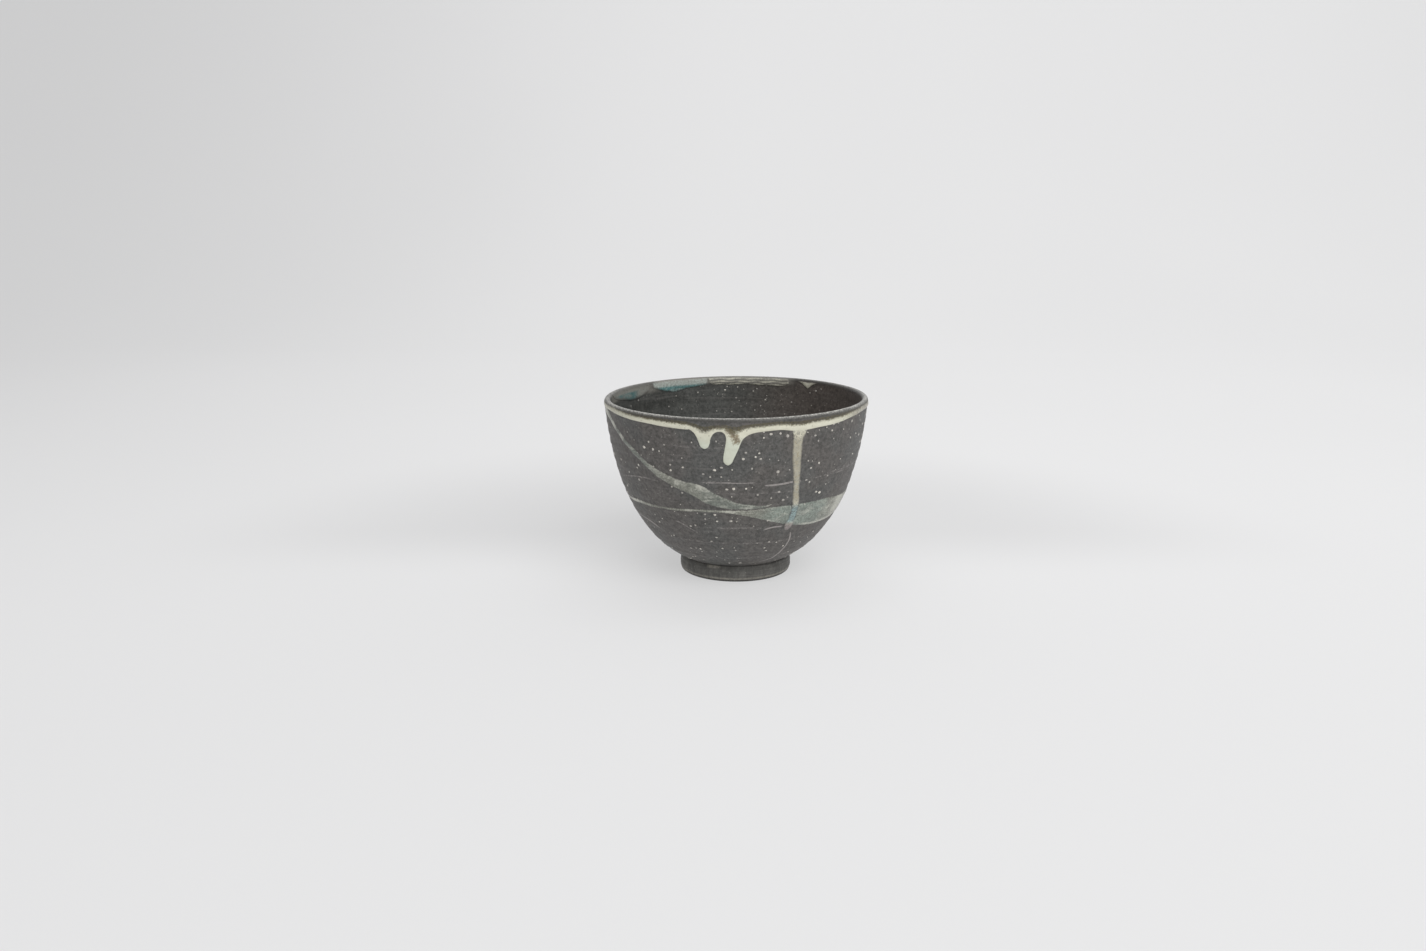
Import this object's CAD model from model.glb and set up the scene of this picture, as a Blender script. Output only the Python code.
import math

import bpy
import numpy as np
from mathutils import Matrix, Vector
from mathutils.geometry import delaunay_2d_cdt


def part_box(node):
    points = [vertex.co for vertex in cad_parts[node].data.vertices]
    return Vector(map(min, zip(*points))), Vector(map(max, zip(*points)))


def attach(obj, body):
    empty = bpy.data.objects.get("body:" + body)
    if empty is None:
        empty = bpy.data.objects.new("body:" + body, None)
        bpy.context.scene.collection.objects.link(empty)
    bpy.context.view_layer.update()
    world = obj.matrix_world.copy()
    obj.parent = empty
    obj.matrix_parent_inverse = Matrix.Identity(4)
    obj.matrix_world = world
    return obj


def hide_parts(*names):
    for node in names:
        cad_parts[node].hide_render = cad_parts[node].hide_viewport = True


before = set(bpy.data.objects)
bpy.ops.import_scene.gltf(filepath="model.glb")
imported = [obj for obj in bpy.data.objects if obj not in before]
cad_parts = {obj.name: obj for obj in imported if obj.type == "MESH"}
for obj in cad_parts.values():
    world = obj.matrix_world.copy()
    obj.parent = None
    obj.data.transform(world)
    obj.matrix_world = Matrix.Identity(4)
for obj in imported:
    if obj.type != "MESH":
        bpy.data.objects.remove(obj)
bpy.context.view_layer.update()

# The looks of a wheel-thrown tea bowl. Lengths are millimetres until new_mesh() turns them into
# metres. Angles around the bowl are degrees: 0 at the front (-Y), 90 at the right (+X).
# A place on the glazed skin is (angle, s): s is the distance along the profile from the crest of
# the rim, positive down the outside and negative down the inside.

MM = 0.001

# ---- Sizes from the frame -----------------------------------------------------------------------

GLAZE_HIGH = np.array(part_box("outer_glaze")[1]) / MM
FOOT_HIGH = np.array(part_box("foot_ring")[1]) / MM
BOWL_HEIGHT = float(GLAZE_HIGH[2])
RIM_RADIUS = float(GLAZE_HIGH[0])
JOINT_HEIGHT = float(FOOT_HIGH[2])

# ---- The wall's profile, as in the CAD model ----------------------------------------------------

LIP_RADIUS = 1.4
CREST_RADIUS = RIM_RADIUS - LIP_RADIUS
WALL_LEAN = 3.9
OUTER_ARCS = [(149.0, 14.1), (79.0, 19.9), (44.0, 26.0)]
INNER_ARCS = [(120.0, 17.0), (64.0, 20.5), (41.0, 32.5), (2.5, -9.0), (7.0, 21.0)]
COAT = 0.4


def trace_side(side, arcs):
    """Points (s, radius, height, normal) from the crest down one side. side is 1 outside, -1 inside."""
    step = 0.1
    angles = np.arange(90.0, -side * WALL_LEAN, -step * 180.0 / (math.pi * LIP_RADIUS))
    angles = np.radians(np.append(angles, -side * WALL_LEAN))
    centre_height = BOWL_HEIGHT - LIP_RADIUS
    rows = []
    for angle in angles:
        normal = (side * math.cos(angle), math.sin(angle))
        place = (CREST_RADIUS + LIP_RADIUS * normal[0], centre_height + LIP_RADIUS * normal[1])
        rows.append((LIP_RADIUS * (math.pi / 2.0 - angle), *place, *normal))
    s, radius, height = rows[-1][:3]
    heading = math.radians(WALL_LEAN)
    for arc_radius, sweep in arcs:
        turn = math.copysign(1.0, sweep)
        reach = turn * arc_radius
        centre = (radius - reach * math.cos(heading), height + reach * math.sin(heading))
        count = max(4, int(arc_radius * math.radians(abs(sweep)) / step))
        for k in range(1, count + 1):
            angle = heading + math.radians(sweep) * k / count
            along = s + arc_radius * abs(angle - heading)
            place = (centre[0] + reach * math.cos(angle), centre[1] - reach * math.sin(angle))
            rows.append((along, *place, side * math.cos(angle), -side * math.sin(angle)))
        heading = angle
        s, radius, height = rows[-1][:3]
    return np.array(rows)


def whole_profile():
    outside = trace_side(1, OUTER_ARCS)
    inside = trace_side(-1, INNER_ARCS)
    # The last stretch of the floor closes on the axis.
    s, radius, height, normal_r = inside[-1, :4]
    floor_radius = radius / abs(normal_r)
    slope = math.asin(abs(normal_r))
    floor = []
    for k in range(1, 80):
        angle = slope * (1.0 - k / 79.0)
        floor.append((
            s + floor_radius * (slope - angle), floor_radius * math.sin(angle),
            height - floor_radius * (math.cos(angle) - math.cos(slope)), -math.sin(angle), math.cos(angle)))
    inside = np.vstack([inside, floor])
    inside[:, 0] *= -1.0
    return np.vstack([inside[:0:-1], outside])


PROFILE = whole_profile()
S_INSIDE_END = float(PROFILE[0, 0])
S_OUTSIDE_END = float(PROFILE[-1, 0])
# Angle-true plane map of the skin: the distance from the map's centre is exp(-t).
FLAT_T = np.concatenate([[0.0], np.cumsum(
    np.diff(PROFILE[:, 0]) * 2.0 / np.maximum(PROFILE[1:, 1] + PROFILE[:-1, 1], 0.5))])
FLAT_T -= np.interp(0.0, PROFILE[:, 0], FLAT_T)
FLAT_SCALE = 60.0


def on_profile(s, column):
    return np.interp(s, PROFILE[:, 0], PROFILE[:, column])


def s_at_height(height, side):
    """Distance along the profile at a height of the wall. side is 1 outside, -1 inside."""
    rows = PROFILE[PROFILE[:, 0] >= 0.0][::-1] if side > 0 else PROFILE[PROFILE[:, 0] <= 0.0]
    return np.interp(height, rows[:, 2], rows[:, 0])


def rounded(edge, width):
    """Height of a glaze bead from 0 at its edge to 1 a width inside it."""
    share = np.clip(edge / width, 0.0, 1.0)
    return np.sqrt(1.0 - (1.0 - share) ** 2)


def smooth_step(value, low, high):
    share = np.clip((value - low) / (high - low), 0.0, 1.0)
    return share * share * (3.0 - 2.0 * share)


def between(value, low, high, soft):
    """1 between low and high, falling off to 0 over a soft width on either side."""
    return smooth_step(value, low - soft, low + soft) * (1.0 - smooth_step(value, high - soft, high + soft))


# ---- Hand-made unevenness -----------------------------------------------------------------------

# The rim isn't quite level: it is a little low at the front left and high at the back right.
RIM_TO_RIGHT = 0.40
RIM_TO_BACK = 0.37
RIM_SINKS = 0.14
# Random waves: (seed, how many, amount, turns round the bowl, lengths down it).
OUTER_RINGS = [(11, 6, 0.075, (0, 2), (3.4, 8.5)), (12, 6, 0.028, (0, 3), (1.5, 2.8))]
INNER_RINGS = [(14, 6, 0.05, (0, 2), (4.5, 11.0)), (15, 5, 0.02, (1, 5), (2.0, 5.0))]
FOOT_RINGS = [(41, 6, 0.05, (0, 2), (1.0, 2.6)), (42, 5, 0.05, (3, 9), (4.0, 12.0))]
SOFT_DENTS = (13, 8, 0.05, (2, 9), (14.0, 60.0))
TRAIL_RIPPLES = (31, 8, 1.0, (12, 60), (3.0, 9.0))
RUN_RIPPLES = (33, 8, 1.0, (20, 60), (2.0, 7.0))
STRIP_RIPPLES = (35, 8, 1.0, (8, 40), (4.0, 14.0))


def waves(turned, s, seed, count, amount, turns, length):
    """Sum of random waves around and down the bowl. They join up after a full turn."""
    rng = np.random.default_rng(seed)
    total = np.zeros_like(turned)
    for _ in range(count):
        around = rng.integers(turns[0], turns[1] + 1) * rng.choice([-1, 1])
        down = 2.0 * math.pi / rng.uniform(*length)
        phase = rng.uniform(0.0, 2.0 * math.pi)
        total += np.sin(around * turned + down * s + phase)
    return total * amount / math.sqrt(count)


# Lines left by the wheel: (height, from angle, to angle, depth).
WHEEL_LINES = [
    (53.2, -17, 11, 0.10), (68.6, -30, -2, 0.08), (31.4, -18, 11, 0.10), (48.4, -30, 30, 0.06),
    (54.2, 40, 88, 0.09), (39.0, -100, -60, 0.08), (23.4, -40, 44, 0.06), (58.6, 96, 170, 0.09),
    (44.7, 150, 246, 0.10), (26.0, 90, 205, 0.09), (70.4, 200, 268, 0.08), (14.2, -70, 130, 0.05),
]


def wheel_line(turned, height):
    """How deep the wheel's lines are here, 0 to 1."""
    degrees = np.degrees(turned)
    depth = np.zeros_like(turned)
    for level, start, end, strength in WHEEL_LINES:
        middle = (start + end) / 2.0
        off = half_turn(degrees - middle)
        along = np.clip(((end - start) / 2.0 - np.abs(off)) / 6.0, 0.0, 1.0)
        broken = np.clip(0.75 + 0.6 * np.sin(off * 0.9 + level) + 0.4 * np.sin(off * 2.3 + level), 0.0, 1.0)
        wander = level + 0.18 * np.sin(np.radians(off) * 3.0 + level)
        depth = np.maximum(depth, along * broken * np.exp(-((height - wander) / 0.32) ** 2) * strength * 10.0)
    return depth


def unevenness(turned, s):
    """How far the thrown skin stands out from its profile."""
    outside = s > 0.0
    height = on_profile(s, 2)
    out_of_round = 0.10 * np.cos(2.0 * turned + 0.6) + 0.06 * np.cos(3.0 * turned - 1.1)
    rings = sum(waves(turned, s, *row) for row in OUTER_RINGS)
    soft = waves(turned, s, *SOFT_DENTS)
    inner_rings = sum(waves(turned, s, *row) for row in INNER_RINGS)
    near_lip = np.clip((np.abs(s) - 1.0) / 6.0, 0.15, 1.0)
    near_foot = np.clip((S_OUTSIDE_END - s) / 5.0, 0.0, 1.0)
    near_axis = np.clip((s - S_INSIDE_END) / 8.0, 0.0, 1.0)
    skin = np.where(outside, rings + soft - 0.09 * wheel_line(turned, height), inner_rings + soft)
    sign = np.where(outside, 1.0, -1.0) * np.clip(np.abs(s) / 3.0, 0.0, 1.0)
    return skin * near_lip * near_foot * near_axis + sign * out_of_round * near_foot * near_axis


def round_points(turned, radius, height):
    """Points at angles round the axis."""
    height = np.broadcast_to(height, turned.shape)
    return np.stack([radius * np.sin(turned), -radius * np.cos(turned), height], axis=-1)


def half_turn(degrees):
    """The same angle between -180 and 180."""
    return (degrees + 180.0) % 360.0 - 180.0


def skin_points(turned, s, lift=0.0):
    """Points of the glazed skin, raised by lift along its normal."""
    radius, height = on_profile(s, 1), on_profile(s, 2)
    normal_r, normal_z = on_profile(s, 3), on_profile(s, 4)
    out = unevenness(turned, s) + lift
    radius = np.maximum(radius + normal_r * out, 0.0)
    rim_sits = RIM_TO_RIGHT * np.sin(turned) - RIM_TO_BACK * np.cos(turned) - RIM_SINKS
    height = height + normal_z * out + rim_sits * smooth_step(height, BOWL_HEIGHT - 5.0, BOWL_HEIGHT - 0.6)
    return round_points(turned, radius, height)


# ---- Mesh helpers -------------------------------------------------------------------------------


def full_turn(columns):
    """Even angles round the bowl."""
    return np.linspace(0.0, 2.0 * math.pi, columns, endpoint=False)


def new_mesh(name, points, faces, attributes=None, sharp_edges=None):
    """A mesh object at the origin. points are in millimetres."""
    mesh = bpy.data.meshes.new(name)
    mesh.from_pydata((np.asarray(points) * MM).tolist(), [], faces)
    mesh.validate()
    mesh.update()
    mesh.polygons.foreach_set("use_smooth", [True] * len(mesh.polygons))
    for label, values in (attributes or {}).items():
        layer = mesh.attributes.new(label, "FLOAT", "POINT")
        layer.data.foreach_set("value", np.asarray(values, dtype=np.float32))
    if sharp_edges is not None:
        ends = np.zeros(len(mesh.edges) * 2, dtype=np.int64)
        mesh.edges.foreach_get("vertices", ends)
        ends = ends.reshape(-1, 2)
        marks = sharp_edges[ends[:, 0]] & sharp_edges[ends[:, 1]]
        layer = mesh.attributes.new("sharp_edge", "BOOLEAN", "EDGE")
        layer.data.foreach_set("value", marks)
    piece = bpy.data.objects.new(name, mesh)
    bpy.context.collection.objects.link(piece)
    return piece


def ring_grid(rows, columns):
    """Quads between rows of points that run right round, one index block per row."""
    faces = []
    for row in range(rows - 1):
        low = row * columns
        high = low + columns
        for column in range(columns):
            following = (column + 1) % columns
            faces.append((low + column, high + column, high + following, low + following))
    return faces


def close_round(last, columns):
    """Quads that join the ring that starts at point last to the first ring."""
    faces = []
    for column in range(columns):
        following = (column + 1) % columns
        faces.append((last + column, column, following, last + following))
    return faces


def cap_ends(last, columns, middle):
    """Triangles from the first ring to point middle, and from the ring at last to the next point."""
    faces = []
    for column in range(columns):
        following = (column + 1) % columns
        faces.append((column, following, middle))
        faces.append((last + following, last + column, middle + 1))
    return faces


def finish_piece(piece, node, material):
    """Give a piece its material, body and slot. node is the CAD node it stands for, or None."""
    piece.data.materials.append(material)
    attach(piece, "root")
    if node:
        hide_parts(node)


# ---- Shader helpers -----------------------------------------------------------------------------


class Shader:
    """Short way to write a procedural material."""

    def __init__(self, name):
        self.material = bpy.data.materials.new(name)
        self.material.use_nodes = True
        self.tree = self.material.node_tree
        self.tree.nodes.clear()
        self.output = self.tree.nodes.new("ShaderNodeOutputMaterial")
        self.surface = self.tree.nodes.new("ShaderNodeBsdfPrincipled")
        self.link(self.surface.outputs[0], self.output.inputs["Surface"])
        self.place = self.tree.nodes.new("ShaderNodeTexCoord").outputs["Object"]

    def link(self, source, target):
        self.tree.links.new(source, target)

    def put(self, value, socket):
        if isinstance(value, bpy.types.NodeSocket):
            self.link(value, socket)
        else:
            socket.default_value = value

    def scaled(self, factors):
        """The place on the piece, stretched along each axis. A factor of 1 is one cell per metre."""
        node = self.tree.nodes.new("ShaderNodeMapping")
        node.vector_type = "POINT"
        node.inputs["Scale"].default_value = factors
        self.link(self.place, node.inputs["Vector"])
        return node.outputs[0]

    def noise(self, size, detail=2.0, rough=0.5, stretch=(1, 1, 1), twist=0.0):
        """Cloudy noise from 0 to 1. size is the size of its blobs in millimetres."""
        node = self.tree.nodes.new("ShaderNodeTexNoise")
        node.inputs["Scale"].default_value = 1.0
        node.inputs["Detail"].default_value = detail
        node.inputs["Roughness"].default_value = rough
        node.inputs["Distortion"].default_value = twist
        self.link(self.scaled([factor / (size * MM) for factor in stretch]), node.inputs["Vector"])
        return node.outputs["Fac"]

    def cells(self, size):
        """(distance to the nearest cell's point in cell sizes, the cell's random colour)"""
        node = self.tree.nodes.new("ShaderNodeTexVoronoi")
        node.inputs["Scale"].default_value = 1.0
        self.link(self.scaled([1.0 / (size * MM)] * 3), node.inputs["Vector"])
        return node.outputs["Distance"], node.outputs["Color"]

    def specks(self, size, radii, channel, shares):
        """Round specks in some of the cells. Each fades out between the radii, in cell sizes."""
        distance, random = self.cells(size)
        some = self.ramp(self.part_of(random, channel), *shares)
        return self.product(self.ramp(distance, *radii, 1.0, 0.0), some)

    def along(self, axis):
        split = self.tree.nodes.new("ShaderNodeSeparateXYZ")
        self.link(self.place, split.inputs[0])
        return split.outputs[axis]

    def brighten(self, colour, tone):
        """The colour times a number, which may be more than 1."""
        node = self.tree.nodes.new("ShaderNodeVectorMath")
        node.operation = "SCALE"
        self.put(colour if isinstance(colour, bpy.types.NodeSocket) else colour[:3], node.inputs[0])
        self.put(tone, node.inputs["Scale"])
        return node.outputs[0]

    def product(self, *values):
        result = values[0]
        for value in values[1:]:
            result = self.maths("MULTIPLY", result, value)
        return result

    def sum(self, *values):
        result = values[0]
        for value in values[1:]:
            result = self.maths("ADD", result, value)
        return result

    def swing(self, noise, amount):
        """Noise moved to swing about 0, by half the amount either way."""
        return self.product(self.maths("SUBTRACT", noise, 0.5), amount)

    def part_of(self, colour, channel):
        split = self.tree.nodes.new("ShaderNodeSeparateColor")
        self.link(colour, split.inputs[0])
        return split.outputs[channel]

    def attribute(self, name):
        node = self.tree.nodes.new("ShaderNodeAttribute")
        node.attribute_name = name
        return node.outputs["Fac"]

    def maths(self, operation, first, second):
        node = self.tree.nodes.new("ShaderNodeMath")
        node.operation = operation
        self.put(first, node.inputs[0])
        self.put(second, node.inputs[1])
        return node.outputs[0]

    def ramp(self, value, low, high, to_low=0.0, to_high=1.0):
        """Smooth step of value from low to high."""
        node = self.tree.nodes.new("ShaderNodeMapRange")
        node.interpolation_type = "SMOOTHSTEP"
        self.put(value, node.inputs["Value"])
        self.put(low, node.inputs["From Min"])
        self.put(high, node.inputs["From Max"])
        node.inputs["To Min"].default_value = to_low
        node.inputs["To Max"].default_value = to_high
        return node.outputs["Result"]

    def mix(self, factor, first, second, kind="RGBA"):
        node = self.tree.nodes.new("ShaderNodeMix")
        node.data_type = kind
        self.put(factor, node.inputs["Factor"])
        self.put(first, node.inputs["A"])
        self.put(second, node.inputs["B"])
        return node.outputs["Result"]

    def bump(self, height, depth):
        """Bump from a height of 0 to 1, depth in millimetres."""
        node = self.tree.nodes.new("ShaderNodeBump")
        node.inputs["Distance"].default_value = depth * MM
        node.inputs["Strength"].default_value = 1.0
        self.put(height, node.inputs["Height"])
        self.link(node.outputs[0], self.surface.inputs["Normal"])

    def finish(self, colour, roughness, specular=0.4):
        self.put(colour, self.surface.inputs["Base Color"])
        self.put(roughness, self.surface.inputs["Roughness"])
        self.surface.inputs["Specular IOR Level"].default_value = specular
        return self.material


def srgb(red, green, blue):
    """A colour as seen on a screen, 0 to 255, as the shader wants it."""
    channels = []
    for value in (red, green, blue):
        value /= 255.0
        channels.append(value / 12.92 if value <= 0.04045 else ((value + 0.055) / 1.055) ** 2.4)
    return (*channels, 1.0)


# ---- Materials ----------------------------------------------------------------------------------

COAT_WARM = srgb(93, 90, 87)
COAT_COOL = srgb(89, 89, 87)
COAT_DEEP = srgb(44, 42, 40)
INSIDE_WARM = srgb(90, 83, 78)
INSIDE_COOL = srgb(75, 76, 73)
LIP_DARK = srgb(62, 60, 57)
LIP_PALE = srgb(222, 221, 214)
HAZE_GREY = srgb(164, 161, 153)
LINE_PALE = srgb(168, 162, 159)
GRAIN_WHITE = srgb(222, 217, 206)
GRAIN_GREY = srgb(172, 168, 162)
CREAM = srgb(229, 227, 208)
CREAM_GREEN = srgb(211, 219, 203)
CREAM_SHADE = srgb(196, 192, 170)
CREAM_TAN = srgb(172, 162, 138)
RUN_BLUE = srgb(166, 192, 192)
RUN_PINK = srgb(160, 150, 147)
OLIVE = srgb(100, 93, 68)
OLIVE_DARK = srgb(66, 61, 47)
BROWN = srgb(122, 104, 72)
BROWN_DARK = srgb(66, 54, 40)
CELADON = srgb(120, 125, 117)
CELADON_GREEN = srgb(140, 141, 130)
CELADON_BLUE = srgb(136, 145, 136)
CELADON_PALE = srgb(204, 204, 192)
TEAL = srgb(76, 122, 124)
TEAL_LIGHT = srgb(102, 148, 148)
TEAL_PALE = srgb(212, 218, 210)
FOOT_DARK = srgb(97, 96, 92)
CLAY_RUBBED = srgb(158, 153, 142)
PAPER = srgb(156, 156, 157)
PAPER_SHADE = srgb(152, 152, 153)
PAPER_GLOW = 0.5


def dark_coat(shader, within=0.0):
    """Colour, roughness and height of the matt dark glaze over gritty clay. within is 1 inside the bowl."""
    broad = shader.noise(26.0, 3.0, 0.55)
    patchy = shader.noise(5.5, 3.0, 0.6)
    mottled = shader.noise(1.5, 3.0, 0.7)
    fine = shader.noise(0.5, 2.0, 0.7)
    streaks = shader.noise(1.6, 3.0, 0.6, stretch=(0.05, 0.05, 1.0))
    outer = shader.mix(shader.ramp(broad, 0.38, 0.6), COAT_COOL, COAT_WARM)
    # Inside it is darker, cooler on the left and browner on the right.
    across = shader.sum(shader.along("X"), shader.swing(broad, 0.05))
    inner = shader.mix(shader.ramp(across, -0.01, 0.045), INSIDE_COOL, INSIDE_WARM)
    inner = shader.brighten(inner, shader.ramp(across, -0.055, -0.01, 0.8, 1.15))
    colour = shader.mix(within, outer, inner)
    tone = shader.product(
        shader.ramp(patchy, 0.3, 0.7, 0.9, 1.1), shader.ramp(mottled, 0.3, 0.7, 0.68, 1.32),
        shader.ramp(fine, 0.25, 0.75, 0.86, 1.14))
    colour = shader.brighten(colour, tone)
    colour = shader.mix(shader.ramp(streaks, 0.56, 0.8, 0.0, 0.16), colour, LINE_PALE)
    # Fine feldspar grains in the clay.
    distance, random = shader.cells(1.1)
    size = shader.product(shader.part_of(random, "Red"), 0.2)
    grain = shader.ramp(shader.maths("SUBTRACT", distance, size), 0.0, 0.1, 1.0, 0.0)
    seen = shader.ramp(shader.part_of(random, "Green"), 0.7, 0.76)
    grain = shader.product(grain, seen, shader.ramp(patchy, 0.36, 0.58, 0.3, 1.0))
    colour = shader.mix(shader.product(grain, 0.62), colour, GRAIN_GREY)
    # Dark pits.
    pit = shader.specks(1.9, (0.05, 0.2), "Blue", (0.55, 0.6))
    colour = shader.mix(shader.product(pit, 0.5), colour, COAT_DEEP)
    roughness = shader.ramp(patchy, 0.3, 0.7, 0.48, 0.62)
    height = shader.sum(
        shader.product(fine, 0.5), shader.product(mottled, 0.5),
        shader.product(grain, 0.5), shader.product(pit, -0.6))
    return colour, roughness, height


def hazed(shader, colour):
    """The colour under a thin grey-white haze, where the haze attribute says so."""
    grainy = shader.noise(0.9, 3.0, 0.7)
    haze = shader.product(shader.attribute("haze"), shader.ramp(grainy, 0.3, 0.6, 0.6, 1.0))
    return shader.mix(haze, colour, HAZE_GREY)


def coat_material():
    shader = Shader("dark_glaze")
    colour, roughness, height = dark_coat(shader, shader.attribute("within"))
    grainy = shader.noise(0.9, 3.0, 0.7)
    line = shader.product(shader.attribute("wheel_line"), shader.ramp(grainy, 0.42, 0.56), 0.75)
    colour = shader.mix(line, colour, LINE_PALE)
    halo = shader.sum(shader.attribute("halo"), shader.swing(grainy, 0.9))
    olive = shader.mix(shader.ramp(grainy, 0.35, 0.6), OLIVE_DARK, OLIVE)
    colour = shader.mix(shader.ramp(halo, 0.15, 0.95, 0.0, 0.75), colour, olive)
    lip = shader.attribute("lip")
    colour = shader.mix(shader.product(lip, 0.88), colour, LIP_DARK)
    colour = hazed(shader, colour)
    sparkle = shader.ramp(shader.noise(0.8, 2.0, 0.7), 0.4, 0.58, 0.25, 1.0)
    worn = shader.ramp(shader.noise(14.0, 2.0), 0.35, 0.6, 0.75, 1.0)
    rub = shader.product(shader.attribute("rub"), sparkle, worn)
    colour = shader.mix(rub, colour, LIP_PALE)
    roughness = shader.mix(lip, roughness, 0.42, "FLOAT")
    shader.bump(height, 0.08)
    return shader.finish(colour, roughness)


# ---- The dark coats -----------------------------------------------------------------------------

COLUMNS = 400
ROW_STEP = 0.56
FINE_REACH = 0.75
FINE_STEP = 0.25
LEAST_STEP = 0.14
BACK_ROW_EVERY = 6
SEAM_S = -5.0   # the outer coat wraps over the rim and meets the inner one here
AXIS_GAP = 0.4  # the last ring of a floor before the point on the axis


def coat_rows(start, end, step, extra=()):
    """Distances along the profile for the rows of a coat, closer together at each extra place."""
    rows = list(np.linspace(start, end, int(abs(end - start) / step) + 1))
    for place in extra:
        rows.extend(np.arange(place - FINE_REACH, place + FINE_REACH + 0.01, FINE_STEP))
    rows = sorted(row for row in rows if min(start, end) <= row <= max(start, end))
    kept = [rows[0]]
    for row in rows[1:]:
        if row - kept[-1] > LEAST_STEP:
            kept.append(row)
    kept[-1] = rows[-1]
    return np.array(kept)


def skin_grid(rows):
    return np.meshgrid(full_turn(COLUMNS), rows)


def trail_top(degrees):
    """Height of the cream trail's upper edge at an angle."""
    table = sorted((angle % 360.0, high) for angle, _, high in CREAM_RING)
    angles = np.array([row[0] for row in table])
    heights = np.array([row[1] for row in table])
    return np.interp(degrees % 360.0, angles, heights, period=360.0)


def haze_within(turned, height):
    """Thin grey-white haze inside the rim, round the celadon patches and under the cream band."""
    degrees = np.degrees(turned) % 360.0
    left = 0.6 * between(degrees, 222.0, 268.0, 5.0) * between(height, 76.4, 80.6, 1.2)
    back = 0.7 * between(degrees, 150.0, 223.0, 4.0) * between(height, 78.6, 81.4, 0.6)
    return np.maximum(left, back)


def coat_attributes(turned, s):
    height = on_profile(s, 2)
    above = height - trail_top(np.degrees(turned))
    outside = s > 0.0
    halo = np.where(outside, np.exp(-((above - 0.25) / 0.75) ** 2), 0.0)
    lip = np.clip((3.0 - np.abs(s)) / 1.6, 0.0, 1.0)
    rub = np.exp(-((s - 0.15) / (0.7 + 0.5 * np.abs(np.sin(turned)))) ** 2)
    rub *= 0.42 + 0.58 * (0.5 + 0.5 * np.cos(turned)) ** 2
    haze = np.where(outside, 0.0, haze_within(turned, height))
    return {
        "wheel_line": np.where(outside, wheel_line(turned, height), 0.0).ravel(),
        "halo": halo.ravel(),
        "lip": lip.ravel(),
        "rub": rub.ravel(),
        "haze": haze.ravel(),
        "within": smooth_step(-s, 0.0, 2.4).ravel(),
    }


def build_coat(name, rows, closed_floor):
    """A closed skin as thick as the glaze: the visible side, then the clay side with fewer rows."""
    turned, s = skin_grid(rows)
    back_rows = rows[::-1][::BACK_ROW_EVERY]
    if back_rows[-1] != rows[0]:
        back_rows = np.append(back_rows, rows[0])
    back_turned, back_s = skin_grid(back_rows)
    front = skin_points(turned, s).reshape(-1, 3)
    back = skin_points(back_turned, back_s, -COAT).reshape(-1, 3)
    points = np.vstack([front, back])
    total = len(rows) + len(back_rows)
    faces = ring_grid(total, COLUMNS)
    last = (total - 1) * COLUMNS
    if closed_floor:
        # The rows start at the axis, so both ends close on a single point.
        levels = (front[:COLUMNS, 2].mean(), back[-COLUMNS:, 2].mean())
        points = np.vstack([points, [(0.0, 0.0, level) for level in levels]])
        faces += cap_ends(last, COLUMNS, len(points) - 2)
    else:
        faces += close_round(last, COLUMNS)
    sharp = np.zeros(len(points), dtype=bool)
    edge_row = (len(rows) - 1) * COLUMNS
    sharp[edge_row:edge_row + COLUMNS] = True
    if not closed_floor:
        sharp[:COLUMNS] = True
    attributes = coat_attributes(np.concatenate([turned.ravel(), back_turned.ravel()]),
                                 np.concatenate([s.ravel(), back_s.ravel()]))
    if closed_floor:
        attributes = {label: np.append(values, [0.0, 0.0]) for label, values in attributes.items()}
    return new_mesh(name, points, faces, attributes, sharp)


# ---- Poured glaze -------------------------------------------------------------------------------

# Cream trail round the rim: (angle, lower edge, upper edge) as heights.
CREAM_RING = [
    (-165, 77.3, 80.0), (-145, 77.7, 79.9), (-125, 77.4, 79.6), (-105, 77.9, 79.8),
    (-88, 78.2, 80.4), (-70.5, 78.3, 80.8), (-58.5, 77.6, 80.6), (-49, 77.0, 80.0),
    (-39, 76.7, 79.8), (-28.5, 76.1, 79.3), (-20.5, 75.9, 78.9), (-16.5, 74.7, 77.6),
    (-13.5, 74.0, 76.6), (-10, 75.4, 77.6), (-5.5, 75.4, 77.9), (-1.5, 73.8, 76.9),
    (3.5, 74.2, 78.0), (9.5, 75.5, 78.6), (17, 75.9, 79.1), (25, 74.9, 78.4), (29.5, 75.2, 78.8),
    (35.5, 75.7, 79.1), (47, 76.4, 79.4), (56, 77.4, 80.0), (69.5, 78.2, 80.7), (90, 78.3, 80.2),
    (110, 77.6, 79.6), (130, 77.9, 79.9), (150, 77.5, 80.0), (172, 77.0, 80.0),
]
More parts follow.
